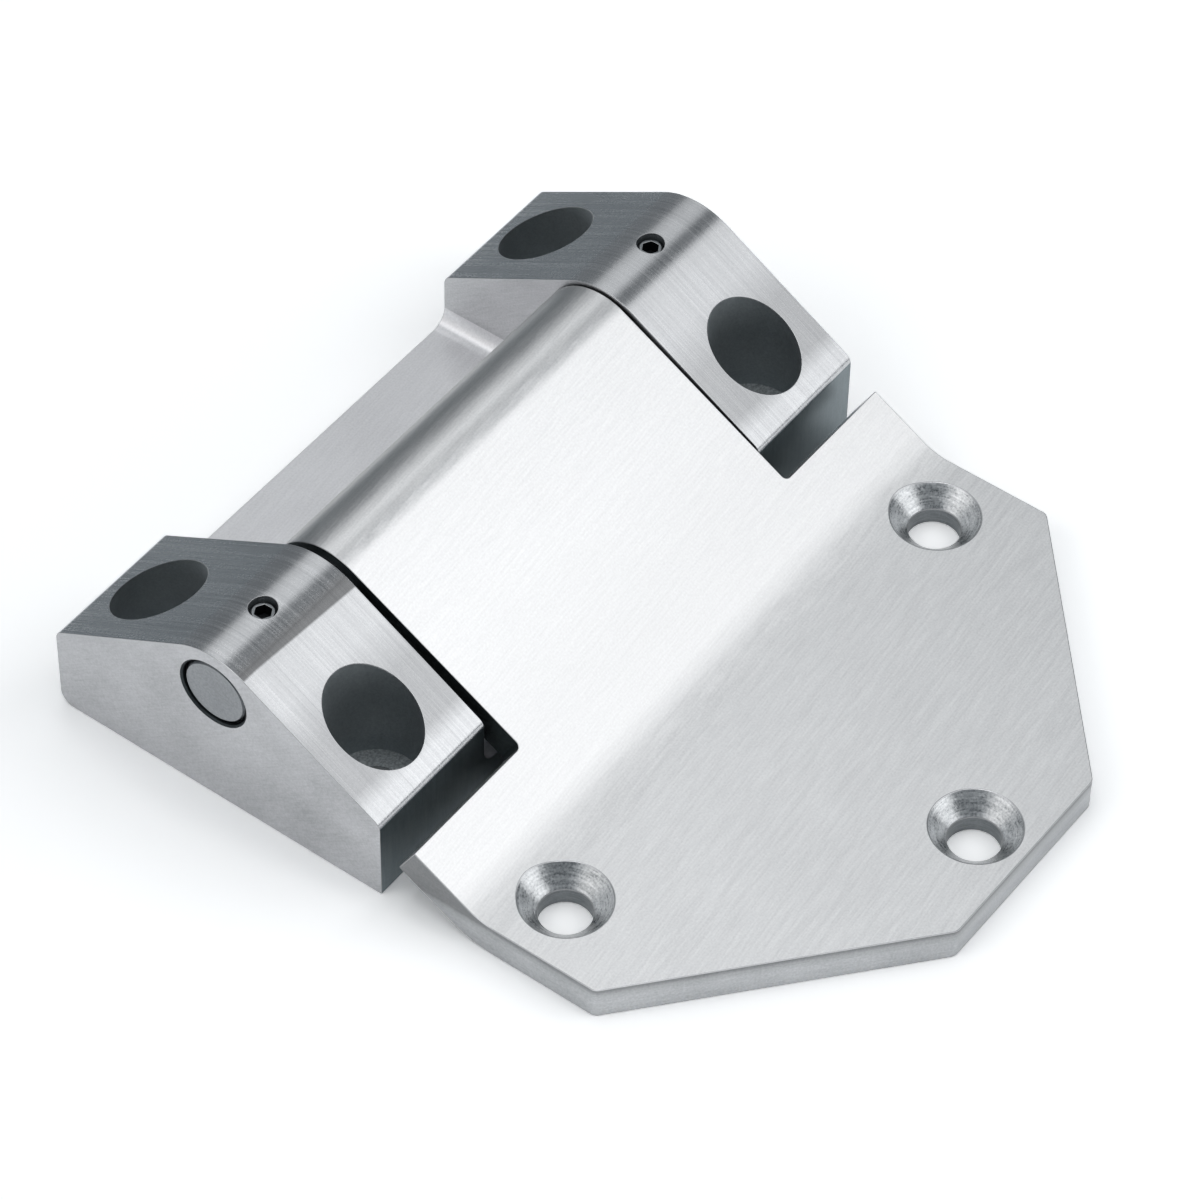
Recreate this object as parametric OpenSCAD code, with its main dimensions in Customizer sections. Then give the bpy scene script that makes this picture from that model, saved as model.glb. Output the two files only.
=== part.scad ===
// Heavy-duty block hinge for a gate or a machine door, in stainless steel.
// X runs along the pin, Y across it towards the flange, Z up from the mounting face.
// The origin is the centre of the base's four bolt holes, on the mounting face.

/* [Base casting] */
// Length over both bearing blocks, along the pin
base_length = 120; // [110:1:150]
// Depth of the base, across the pin
base_depth = 62; // [60:1:76]
// Width of each bearing block
block_width = 25; // [24:0.5:30]
// Height over the rounded ridge of a block
ridge_height = 32; // [31.5:0.5:36]
// Fall of the two roof slopes of a block, in degrees
block_slope = 30.5; // [28:0.5:33]
// Radius of the rounded ridge
ridge_radius = 12; // [10:0.5:14]
// Rounding between a slope and the side wall under it
wall_edge_radius = 2; // [1:0.5:4]
// Rounding along the foot of the rear wall
foot_radius = 2.5; // [1:0.5:4]
// Thickness of the web that joins the blocks
web_height = 6; // [5:0.5:7]
// Fillet between the web and a block
web_fillet = 3; // [1:0.5:5]
// Rounding of the web's upper rear edge
web_edge_radius = 0.5; // [0.25:0.25:3]

/* [Leaf casting] */
// Outer radius of the knuckle round the pin
knuckle_radius = 8.2; // [8:0.1:9]
// Fall of the leaf's arm, in degrees
arm_slope = 29; // [28:0.5:31]
// Thickness of the arm and of the flange
leaf_thickness = 6; // [5:0.25:6.5]
// Fillet under the arm where it leaves the knuckle
arm_fillet = 6; // [3:0.5:8]
// Radius of the bend from the arm to the flange, on top
bend_radius = 10; // [6:1:16]
// Width of the flange over its shoulders, along the pin
flange_width = 118; // [112:1:140]
// Distance of the shoulders from the pin, across it, on top
shoulder_reach = 36.5; // [36:0.25:40]
// Rounding in the corner between the arm and a shoulder
notch_radius = 1; // [0.5:0.25:2]
// Distance from the pin to where the flange starts to taper
taper_reach = 69.5; // [66:0.5:74]
// Distance from the pin to the end of the flange
flange_reach = 105; // [103:0.5:120]
// Width of the flange at its end
flange_end_width = 36; // [24:1:60]
// Rounding of the flange's corners, seen from above
flange_corner_radius = 1.5; // [0.5:0.5:4]

/* [Pin and fits] */
// Height of the pin's axis over the mounting face
pin_height = 23.5; // [23:0.25:24.5]
// Diameter of the pin
pin_diameter = 12; // [10:0.5:12.5]
// How far each pin end lies inside the block's outer face
pin_recess = 0.3; // [0:0.1:1]
// Chamfer at each end of the pin
pin_chamfer = 0.7; // [0.3:0.1:1.2]
// Chamfer at the mouth of the pin bore
bore_chamfer = 0.3; // [0.1:0.1:0.6]
// Radial clearance between the pin and a bearing block
pin_fit = 0.02; // [0.01:0.01:0.05]
// Radial clearance between the pin and the knuckle
knuckle_fit = 0.05; // [0.02:0.01:0.1]
// Gap from the knuckle to the right block
right_gap = 1.7; // [0.4:0.1:2]
// Gap from the knuckle to the left block
left_gap = 0.3; // [0.3:0.1:2]

/* [Fasteners] */
// Spacing of the bolts of the base along the pin, and of the flange's outer holes
bolt_spacing_along = 96; // [94:1:100]
// Spacing of the bolts of the base across the pin
bolt_spacing_across = 41; // [39:0.5:42]
// Clearance hole of every mounting bolt
bolt_hole = 8.4; // [6.4:0.2:9]
// Counterbore for a bolt's head
counterbore_diameter = 15; // [13:0.5:16]
// Height of the counterbore's floor over the mounting face
counterbore_floor = 5.5; // [4:0.5:8]
// Top diameter of the flange's countersinks
countersink_diameter = 14.4; // [12:0.2:16]
// Distance from the pin to the flange's two outer holes
outer_hole_reach = 56; // [54:0.5:60]
// Distance from the pin to the flange's end hole
end_hole_reach = 96; // [90:0.5:97]
// Diameter of the set screws that lock the pin, midway down their thread
set_screw_diameter = 4.4; // [4:0.1:5]
// Length of a set screw
set_screw_length = 4; // [3.5:0.25:5]
// Depth of a set screw under the ridge
set_screw_recess = 1; // [0.5:0.25:1.25]
// Width across the flats of the hexagon socket
socket_flats = 2.5; // [1.5:0.25:2.5]
// Depth of the hexagon socket
socket_depth = 2; // [1:0.25:2.5]

/* [Hidden] */

$fn = 96;
// Overshoot of a cutting shape past the face that it cuts
over = 1;
// Rounds are this much larger than true, so that they cross the flats that they blend into
seam = 0.004;
// Radial clearance round a set screw
screw_fit = 0.02;
// Chamfer of a set screw's two ends
screw_chamfer = 0.5;

half_length = base_length / 2;
half_depth = base_depth / 2;
inner_face = half_length - block_width;

// Sharp apex of the two slopes, the ridge's centre, and the top of the side walls
ridge_center = ridge_height - ridge_radius;
apex_height = ridge_center + ridge_radius / cos(block_slope);
wall_height = apex_height - half_depth * tan(block_slope);
ridge_tangent = [ridge_radius * sin(block_slope), ridge_center + ridge_radius * cos(block_slope)];

knuckle_left = -inner_face + left_gap;
knuckle_right = inner_face - right_gap;

// Directions in the leaf's section: down along the arm, and out of its top face
arm_along = [cos(arm_slope), -sin(arm_slope)];
arm_normal = [sin(arm_slope), cos(arm_slope)];
pin_point = [0, pin_height];
// Place of the shoulders along the arm, from the normal through the pin
shoulder_along = (shoulder_reach - knuckle_radius * sin(arm_slope)) / cos(arm_slope);
// Sharp corners of the bend, on the leaf's top and under it
arm_top_at_axis = pin_height + knuckle_radius / cos(arm_slope);
bend_top = [(arm_top_at_axis - leaf_thickness) / tan(arm_slope), leaf_thickness];
bend_under = [bend_top[0] - leaf_thickness * tan(arm_slope / 2), 0];

bolt_x = bolt_spacing_along / 2;
bolt_y = bolt_spacing_across / 2;
pin_length = base_length - 2 * pin_recess;
screw_top = ridge_height - set_screw_recess;
screw_bottom = screw_top - set_screw_length;

// Draws a section in Y and Z, and extrudes it along X between two places
module along_pin(from, to) {
    translate([from, 0, 0])
        rotate([90, 0, 90])
            linear_extrude(height = to - from)
                children();
}

// A solid cylinder along X between two places, at the pin's axis
module pin_bore(from, to, diameter) {
    translate([from, 0, pin_height])
        rotate([0, 90, 0])
            cylinder(d = diameter, h = to - from);
}

// The piece between a corner and its round: taken off a convex corner, added to a hollow one.
// first and second are the unit directions of the two edges that leave the corner.
module corner_piece(corner, first, second, r) {
    half_angle = acos(first * second) / 2;
    reach = r / tan(half_angle);
    middle = (first + second) / norm(first + second);
    difference() {
        polygon([corner + reach * first, corner - over * middle, corner + reach * second]);
        translate(corner + r / sin(half_angle) * middle)
            circle(r = r + seam);
    }
}

// The gable section of a bearing block, with its rounded ridge and eaves
module block_section() {
    slope_down = [cos(block_slope), -sin(block_slope)];
    difference() {
        union() {
            polygon([
                [-half_depth, 0], [half_depth, 0], [half_depth, wall_height], ridge_tangent,
                [-ridge_tangent[0], ridge_tangent[1]], [-half_depth, wall_height]
            ]);
            translate([0, ridge_center])
                circle(r = ridge_radius + seam);
        }
        for (side = [-1, 1])
            corner_piece(
                [side * half_depth, wall_height], [0, -1],
                [-side * slope_down[0], -slope_down[1]], wall_edge_radius
            );
        corner_piece([-half_depth, 0], [1, 0], [0, 1], foot_radius);
    }
}

// The flat web between the blocks, with its rounded rear edges
module web_section() {
    difference() {
        translate([-half_depth, 0])
            square([base_depth, web_height]);
        corner_piece([-half_depth, 0], [1, 0], [0, 1], foot_radius);
        corner_piece([-half_depth, web_height], [1, 0], [0, -1], web_edge_radius);
    }
}

// The fillet that joins the web's top to the inner face of the right block
module web_blend() {
    rear = -half_depth + web_edge_radius;
    translate([0, half_depth, 0])
        rotate([90, 0, 0])
            linear_extrude(height = half_depth - rear)
                corner_piece([inner_face, web_height], [-1, 0], [0, 1], web_fillet);
}

// A bolt's through hole and the deep counterbore over it
module bolt_cut() {
    translate([0, 0, -over])
        cylinder(d = bolt_hole, h = ridge_height);
    translate([0, 0, counterbore_floor])
        cylinder(d = counterbore_diameter, h = ridge_height);
}

module base() {
    color("#a7aaad")
    difference() {
        union() {
            along_pin(-half_length, -inner_face) block_section();
            along_pin(inner_face, half_length) block_section();
            along_pin(-inner_face, inner_face) web_section();
            for (side = [0, 1])
                mirror([side, 0, 0]) web_blend();
        }
        for (x = [-bolt_x, bolt_x], y = [-bolt_y, bolt_y])
            translate([x, y, 0]) bolt_cut();
        pin_bore(-half_length - over, half_length + over, pin_diameter + 2 * pin_fit);
        for (side = [0, 1])
            mirror([side, 0, 0])
                translate([half_length - bore_chamfer, 0, pin_height])
                    rotate([0, 90, 0])
                        cylinder(
                            d1 = pin_diameter + 2 * pin_fit,
                            d2 = pin_diameter + 2 * pin_fit + 4 * bore_chamfer,
                            h = 2 * bore_chamfer
                        );
        for (x = [-bolt_x, bolt_x])
            translate([x, 0, pin_height])
                cylinder(d = set_screw_diameter + 2 * screw_fit, h = ridge_height);
    }
}

// Turns a section so that its x runs down the arm and its y out of the arm's top, from the pin
module arm_frame() {
    translate(pin_point)
        rotate(-arm_slope)
            children();
}

// The fillet that fills the corner between the knuckle and the arm's underside
module arm_blend() {
    under = knuckle_radius - leaf_thickness;
    center_y = under - arm_fillet;
    center_x = sqrt(pow(knuckle_radius + arm_fillet, 2) - pow(center_y, 2));
    difference() {
        polygon([[0, 0], [center_x, center_y], [center_x, under + over], [0, under + over]]);
        translate([center_x, center_y])
            circle(r = arm_fillet + seam);
    }
}

// The leaf's section: knuckle, sloping arm, bend and flat flange
module leaf_section() {
    arm_top = pin_point + (knuckle_radius - seam) * arm_normal;
    arm_under = pin_point + (knuckle_radius - leaf_thickness) * arm_normal;
    translate(pin_point)
        circle(r = knuckle_radius);
    arm_frame() arm_blend();
    corner_piece(bend_top, -arm_along, [1, 0], bend_radius);
    difference() {
        polygon([
            pin_point, arm_top, bend_top, [flange_reach, leaf_thickness],
            [flange_reach, 0], bend_under, arm_under
        ]);
        corner_piece(bend_under, -arm_along, [1, 0], bend_radius + leaf_thickness);
    }
}

// The part of the section past the shoulders, which is as wide as the flange
module flange_section() {
    reach = flange_reach + pin_height;
    intersection() {
        leaf_section();
        arm_frame()
            translate([shoulder_along, -reach])
                square([reach + over, 2 * reach]);
    }
}

// The outline of the leaf seen from above, with its tapered end
module leaf_outline() {
    half_width = flange_width / 2;
    half_end = flange_end_width / 2;
    taper = [half_end - half_width, flange_reach - taper_reach];
    taper_along = taper / norm(taper);
    difference() {
        polygon([
            [-half_width, -half_depth], [half_width, -half_depth], [half_width, taper_reach],
            [half_end, flange_reach], [-half_end, flange_reach], [-half_width, taper_reach]
        ]);
        for (side = [0, 1])
            mirror([side, 0]) {
                corner_piece([half_width, taper_reach], [0, -1], taper_along, flange_corner_radius);
                corner_piece([half_end, flange_reach], [-1, 0], -taper_along, flange_corner_radius);
            }
    }
}

// The small fillet in a notch, drawn for the right side and for an arm side at arm_x
module notch_blend(arm_x) {
    translate([arm_x, 0, pin_height])
        rotate([-arm_slope, 0, 0])
            translate([0, shoulder_along, knuckle_radius - leaf_thickness])
                difference() {
                    translate([-over, -notch_radius, 0])
                        cube([notch_radius + over, notch_radius + over, leaf_thickness]);
                    translate([notch_radius, -notch_radius, -over])
                        cylinder(r = notch_radius + seam, h = leaf_thickness + 2 * over);
                }
}

// A countersunk hole in the flange
module countersink_cut() {
    depth = (countersink_diameter - bolt_hole) / 2;
    translate([0, 0, -over])
        cylinder(d = bolt_hole, h = leaf_thickness + 2 * over);
    translate([0, 0, leaf_thickness - depth])
        cylinder(d1 = bolt_hole, d2 = countersink_diameter + 2 * over, h = depth + over);
}

module leaf() {
    color("#d3d5d8")
    difference() {
        intersection() {
            union() {
                along_pin(knuckle_left, knuckle_right) leaf_section();
                along_pin(-flange_width / 2, flange_width / 2) flange_section();
                notch_blend(knuckle_right);
                mirror([1, 0, 0]) notch_blend(-knuckle_left);
            }
            linear_extrude(height = ridge_height + knuckle_radius)
                leaf_outline();
        }
        pin_bore(knuckle_left - over, knuckle_right + over, pin_diameter + 2 * knuckle_fit);
        for (x = [-bolt_x, bolt_x])
            translate([x, outer_hole_reach, 0]) countersink_cut();
        translate([0, end_hole_reach, 0]) countersink_cut();
    }
}

// The pin, with a flat-bottomed seat under each set screw
module hinge_pin() {
    shank = pin_length - 2 * pin_chamfer;
    color("#8b8e91")
    difference() {
        translate([-pin_length / 2, 0, pin_height])
            rotate([0, 90, 0]) {
                cylinder(d1 = pin_diameter - 2 * pin_chamfer, d2 = pin_diameter, h = pin_chamfer);
                translate([0, 0, pin_chamfer])
                    cylinder(d = pin_diameter, h = shank);
                translate([0, 0, pin_chamfer + shank])
                    cylinder(d1 = pin_diameter, d2 = pin_diameter - 2 * pin_chamfer, h = pin_chamfer);
            }
        for (x = [-bolt_x, bolt_x])
            translate([x, 0, screw_bottom])
                cylinder(d = set_screw_diameter + 2 * screw_fit, h = ridge_height);
    }
}

// A headless set screw with chamfered ends and a hexagon socket, standing on the pin's seat
module set_screw(x) {
    shank = set_screw_length - 2 * screw_chamfer;
    narrow = set_screw_diameter - 2 * screw_chamfer;
    socket_corners = socket_flats / cos(30);
    color("#3c4043")
    translate([x, 0, screw_bottom])
        difference() {
            union() {
                cylinder(d1 = narrow, d2 = set_screw_diameter, h = screw_chamfer);
                translate([0, 0, screw_chamfer])
                    cylinder(d = set_screw_diameter, h = shank);
                translate([0, 0, screw_chamfer + shank])
                    cylinder(d1 = set_screw_diameter, d2 = narrow, h = screw_chamfer);
            }
            translate([0, 0, set_screw_length - socket_depth])
                cylinder(d = socket_corners, h = socket_depth + over, $fn = 6);
        }
}

module left_set_screw() {
    set_screw(-bolt_x);
}

module right_set_screw() {
    set_screw(bolt_x);
}

base();
leaf();
hinge_pin();
left_set_screw();
right_set_screw();
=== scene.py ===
"""Looks of a stainless steel block hinge for a gate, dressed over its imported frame.

The frame gives the sizes, the bodies and the joint. Each piece of the hinge is modelled here
again, in its place, with the broken edges, the turned countersinks and the ground faces that
the plain solids lack, and gets a steel whose grain runs the way that the real one was ground.
"""
import logging
import math
from dataclasses import dataclass, field
from enum import Enum
from typing import Callable, Iterable

import bmesh
import bpy
from mathutils import Matrix, Vector


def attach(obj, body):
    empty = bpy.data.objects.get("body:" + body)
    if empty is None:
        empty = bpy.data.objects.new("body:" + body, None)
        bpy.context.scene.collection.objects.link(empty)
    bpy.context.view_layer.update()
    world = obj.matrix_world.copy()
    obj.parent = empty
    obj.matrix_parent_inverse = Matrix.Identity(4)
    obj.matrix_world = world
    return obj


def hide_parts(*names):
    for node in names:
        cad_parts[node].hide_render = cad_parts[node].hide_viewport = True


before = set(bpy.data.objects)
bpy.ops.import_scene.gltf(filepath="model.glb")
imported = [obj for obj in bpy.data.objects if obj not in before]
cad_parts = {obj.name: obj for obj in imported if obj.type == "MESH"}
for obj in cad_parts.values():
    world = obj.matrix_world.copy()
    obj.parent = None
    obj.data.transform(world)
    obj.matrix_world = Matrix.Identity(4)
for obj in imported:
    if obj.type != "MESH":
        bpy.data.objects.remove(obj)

log = logging.getLogger("block_hinge")

# Lengths are in millimetres, except in the studio, where they are in metres.
MM = 0.001
# Lengths that differ by less than this are the same.
NEAR = 0.01
# How far the middle of a face may lie off a round that it belongs to.
SLACK = 0.1
# A face runs along an axis when its normal has less than this of that axis.
STEEP = 0.3
# In degrees, the edges that are broken, shaded smooth and dropped as flat.
BROKEN_FROM, SMOOTH_TO, FLAT_TO = 28.0, 40.0, 0.3

Point = tuple[float, float]
Triple = tuple[float, float, float]
Solid = bpy.types.Object
Socket = bpy.types.NodeSocket
Input = Socket | float | Iterable[float]
EdgeTest = Callable[[Vector, Vector], bool]


def same(a: float, b: float) -> bool:
    """Says whether two lengths are the same, but for rounding."""
    return abs(a - b) < NEAR


def clear() -> None:
    """Leaves edit mode and deselects every object."""
    if bpy.context.mode != "OBJECT":
        bpy.ops.object.mode_set(mode="OBJECT")
    bpy.ops.object.select_all(action="DESELECT")


def hold(piece: Solid) -> None:
    """Makes one piece the only selected and active object.

    Args:
        piece: the piece.
    """
    clear()
    piece.select_set(True)
    bpy.context.view_layer.objects.active = piece


def edit(piece: Solid, mode: str = "FACE", whole: bool = False) -> bmesh.types.BMesh:
    """Enters edit mode on a piece with nothing or all of it selected.

    Args:
        piece: the piece to edit.
        mode: VERT, EDGE or FACE.
        whole: whether all of it is selected.

    Returns:
        The edit mesh.
    """
    hold(piece)
    bpy.ops.object.mode_set(mode="EDIT")
    bpy.ops.mesh.select_mode(type=mode)
    bpy.ops.mesh.select_all(action="SELECT" if whole else "DESELECT")
    return bmesh.from_edit_mesh(piece.data)


def settle(piece: Solid, name: str) -> Solid:
    """Applies a new primitive's place to its mesh and names it.

    Args:
        piece: the primitive.
        name: its new name.

    Returns:
        The primitive.
    """
    hold(piece)
    bpy.ops.object.transform_apply(location=True, rotation=True, scale=True)
    piece.name = name
    piece.data.name = name
    return piece


def bar(name: str, low: Triple, high: Triple) -> Solid:
    """Adds a rectangular bar between two corners.

    Args:
        name: the bar's name.
        low: its lowest corner.
        high: its highest corner.

    Returns:
        The bar, with its place in its mesh.
    """
    clear()
    centre = [(a + b) / 2 * MM for a, b in zip(low, high)]
    bpy.ops.mesh.primitive_cube_add(size=1, location=centre)
    piece = bpy.context.active_object
    piece.scale = [(b - a) * MM for a, b in zip(low, high)]
    return settle(piece, name)


def rod(
    name: str, foot: Triple, radius: float, length: float, along: str = "Z", sides: int = 96
) -> Solid:
    """Adds a rod that starts at its foot.

    Args:
        name: the rod's name.
        foot: centre of its first end.
        radius: its radius.
        length: its length.
        along: the axis that it runs along, X or Z.
        sides: the number of its sides.

    Returns:
        The rod, with its place in its mesh.
    """
    clear()
    axis = Vector((1, 0, 0)) if along == "X" else Vector((0, 0, 1))
    middle = (Vector(foot) + axis * length / 2) * MM
    turn = (0.0, math.radians(90), 0.0) if along == "X" else (0.0, 0.0, 0.0)
    bpy.ops.mesh.primitive_cone_add(
        vertices=sides, radius1=radius * MM, radius2=radius * MM, depth=length * MM,
        location=middle, rotation=turn,
    )
    return settle(bpy.context.active_object, name)


def apply(piece: Solid, kind: str, **settings: object) -> None:
    """Adds a modifier to a piece, sets it and applies it.

    Args:
        piece: the piece that is shaped.
        kind: the modifier's type.
        settings: what each of its settings becomes.
    """
    hold(piece)
    bpy.ops.object.modifier_add(type=kind)
    step = piece.modifiers[-1]
    for name, value in settings.items():
        setattr(step, name, value)
    bpy.ops.object.modifier_apply(modifier=step.name)


def cut(piece: Solid, *tools: Solid) -> None:
    """Takes each tool away from a piece, in order, and removes the tool.

    Args:
        piece: the piece that is shaped.
        tools: the bodies that are taken away.
    """
    for tool in tools:
        apply(piece, "BOOLEAN", operation="DIFFERENCE", solver="EXACT", object=tool)
        bpy.data.objects.remove(tool, do_unlink=True)


def extrude(step: Iterable[float]) -> None:
    """Draws what is selected out by a step."""
    bpy.ops.mesh.extrude_region_move(TRANSFORM_OT_translate={"value": tuple(v * MM for v in step)})


def hole_tool(
    at: Point, radius: float, floor: float, rise: float, wide: float, above: float, sides: int
) -> Solid:
    """Makes the tool of a screw's hole: a rod from under the part that widens at a height.

    Args:
        at: the place of its axis.
        radius: the hole's radius.
        floor: the height at which it starts to widen.
        rise: the height over which it widens.
        wide: the radius that it widens to.
        above: how far it goes straight up from there, or 0.
        sides: the number of its sides.

    Returns:
        The tool.
    """
    below = 2.0
    tool = rod("hole", (*at, -below), radius, floor + below, sides=sides)
    mesh = edit(tool)
    max(mesh.faces, key=lambda f: f.calc_center_median().z).select_set(True)
    bmesh.update_edit_mesh(tool.data)
    extrude((0.0, 0.0, rise))
    grow, centre = wide / radius, (at[0] * MM, at[1] * MM, 0.0)
    bpy.ops.transform.resize(value=(grow, grow, 1.0), center_override=centre)
    if above:
        extrude((0.0, 0.0, above))
    clear()
    return tool


def round_edges(piece: Solid, test: EdgeTest, reach: float, steps: int) -> None:
    """Bevels the edges that a test picks by their two ends.

    Args:
        piece: the piece to shape.
        test: takes an edge's two ends, and says if it is bevelled.
        reach: distance from the edge to each new edge.
        steps: the number of steps of the round.
    """
    mesh = edit(piece, "EDGE")
    for edge in mesh.edges:
        ends = [v.co / MM for v in edge.verts]
        if test(ends[0], ends[1]):
            edge.select_set(True)
    bmesh.update_edit_mesh(piece.data)
    bpy.ops.mesh.bevel(
        offset_type="OFFSET", offset=reach * MM, segments=steps, profile=0.5, clamp_overlap=False
    )
    clear()


def trim(piece: Solid, point: Triple, outwards: Triple) -> None:
    """Cuts a piece with a plane, takes the outer side away and closes the cut.

    Args:
        piece: the piece to cut.
        point: a point of the plane.
        outwards: the direction of the side that is taken away.
    """
    edit(piece, whole=True)
    bpy.ops.mesh.bisect(
        plane_co=Vector(point) * MM, plane_no=Vector(outwards).normalized(),
        use_fill=True, clear_outer=True, clear_inner=False,
    )
    clear()


class Outline:
    """A section in Y and Z, drawn from point to point and drawn out along X."""

    def __init__(self, name: str, at: float, first: Point) -> None:
        """Starts a section as a single point.

        Args:
            name: the name of the piece that the section becomes.
            at: the section's place along X.
            first: its first point, as Y and Z.
        """
        self.at = at
        self.last = first
        clear()
        bpy.ops.mesh.primitive_plane_add(size=MM, location=(at * MM, first[0] * MM, first[1] * MM))
        self.piece = settle(bpy.context.active_object, name)
        edit(self.piece, "VERT", whole=True)
        bpy.ops.mesh.merge(type="CENTER")

    def line(self, to: Point) -> None:
        """Draws a straight line from the last point to another."""
        extrude((0.0, to[0] - self.last[0], to[1] - self.last[1]))
        self.last = to

    def arc(self, centre: Point, to: Point, steps: int, clockwise: bool) -> None:
        """Draws an arc from the last point to another.

        Args:
            centre: the arc's centre, as Y and Z.
            to: the point where it ends.
            steps: the number of its steps.
            clockwise: whether it turns clockwise, with Y to the right and Z up.
        """
        start = math.atan2(self.last[1] - centre[1], self.last[0] - centre[0])
        end = math.atan2(to[1] - centre[1], to[0] - centre[0])
        sweep = (end - start) % math.tau
        if clockwise:
            sweep -= math.tau
        radius = math.hypot(self.last[0] - centre[0], self.last[1] - centre[1])
        for count in range(1, steps + 1):
            angle = start + sweep * count / steps
            self.line((centre[0] + radius * math.cos(angle), centre[1] + radius * math.sin(angle)))

    def draw_out(self, to: float) -> Solid:
        """Closes the section, fills it and draws it out along X.

        Args:
            to: the far end along X.

        Returns:
            The solid piece.
        """
        same_point = 0.0005 * MM
        bpy.ops.mesh.select_all(action="SELECT")
        bpy.ops.mesh.remove_doubles(threshold=same_point)
        bpy.ops.mesh.edge_face_add()
        extrude((to - self.at, 0.0, 0.0))
        bpy.ops.mesh.select_all(action="SELECT")
        bpy.ops.mesh.normals_make_consistent(inside=False)
        clear()
        return self.piece


class Grain(Enum):
    """How a face was ground: the turn of the grain's own frame, and its cell there in millimetres."""

    ALONG_PIN = ((0.0, 0.0, 5.0), (5.0, 0.32, 0.32))
    ACROSS_PIN = ((0.0, 0.0, 0.0), (0.26, 22.0, 22.0))
    DIAGONAL = ((38.0, 0.0, 0.0), (4.0, 3.0, 0.28))
    UPRIGHT = ((0.0, 0.0, 0.0), (0.4, 0.4, 4.0))
    LEVEL = ((0.0, 0.0, 0.0), (5.0, 5.0, 0.30))
    TURNED = ((0.0, 0.0, 0.0), (3.0, 3.0, 0.22))
    CAST = ((0.0, 0.0, 0.0), (0.5, 0.5, 0.5))


@dataclass(frozen=True)
class Steel:
    """A ground, turned or cast steel face.

    Light and shade are the two ends of its colour, and streak, grit and mottle are the strengths
    of its grain, of its fine isotropic roughness and of its broad clouds. Haze is the roughness that
    is added at places along Y. The tone stops are shares of the colour that are kept at places along
    one axis: on the block and leaf tops they are painted highlights and painted shade, and on the
    leaf's edge faces they make the colour darker upwards. The painted shade is a band of painted
    shade on the near block's slope towards the leaf, just past the ridge: where it starts, its end
    at two places along X, and the share that it keeps.
    """

    name: str
    light: Triple
    shade: Triple
    roughness: float
    grain: Grain
    streak: float = 0.5
    grit: float = 0.2
    mottle: float = 0.2
    relief: float = 0.25
    haze: tuple[Point, ...] = ()
    tones_and_painted_light: tuple[Point, ...] = ()
    tones_axis: str = "Y"
    painted_shade: tuple[float, Point, Point, float] | None = None

    def build(self) -> bpy.types.Material:
        """Builds the finish's material from procedural nodes.

        Returns:
            The material.
        """
        board = Board(bpy.data.materials.new(self.name))
        turn, cell = self.grain.value
        level_turn, grit_size, cloud_size, depth = (0.0, 0.0, 0.0), 0.35, 14.0, 0.05
        fine_share, coarse_share, coarse_size, spread, swing = 1.9, 1.0, 2.4, 2.6, 0.16
        fine = board.noise("Fine grain", turn, cell, detail=2.0)
        coarse = board.noise("Coarse grain", turn, [c * coarse_size for c in cell], detail=1.0)
        grit = board.noise("Grit", level_turn, [grit_size] * 3, detail=1.0)
        cloud = board.noise("Clouds", level_turn, [cloud_size] * 3, detail=2.0)
        middle = 0.5 - (fine_share + coarse_share) / 2
        streaks = board.blend_sum("Streaks", [(fine, fine_share), (coarse, coarse_share)], middle)
        parts = [(streaks, self.streak), (grit, spread * self.grit), (cloud, spread * self.mottle)]
        level = -sum(strength for _, strength in parts) / 2
        tone = board.blend_sum("Tone", parts, 0.5 + level)
        colour = board.mix("Steel colour", tone, self.shade, self.light)
        swings = [(value, swing * strength) for value, strength in parts]
        rough = board.blend_sum("Roughness", swings, self.roughness + swing * level)
        if self.haze:
            rough = board.combine("Hazy", "ADD", board.along_line("Y", self.haze), rough, clamp=True)
        # Painted highlights and painted shade: the colour is scaled at places along one axis.
        if self.tones_and_painted_light:
            colour = board.scale(colour, board.along_line(self.tones_axis, self.tones_and_painted_light))
        # Painted shade: a darker band on the near block's slope towards the leaf, just past the ridge.
        if self.painted_shade:
            colour = board.scale(colour, board.painted_shade_band(*self.painted_shade))
        parts = [(streaks, self.streak), (grit, spread / 2 * self.grit)]
        height = board.blend_sum("Height", parts, 0.0)
        relief = board.add("Bump", "Relief", Height=height, Strength=self.relief, Distance=depth * MM)
        steel = board.add(
            "BsdfPrincipled", "Steel", Base_Color=colour, Metallic=1.0, Roughness=rough,
            Normal=relief.outputs["Normal"],
        )
        board.finish(steel.outputs["BSDF"])
        return board.owner


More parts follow.
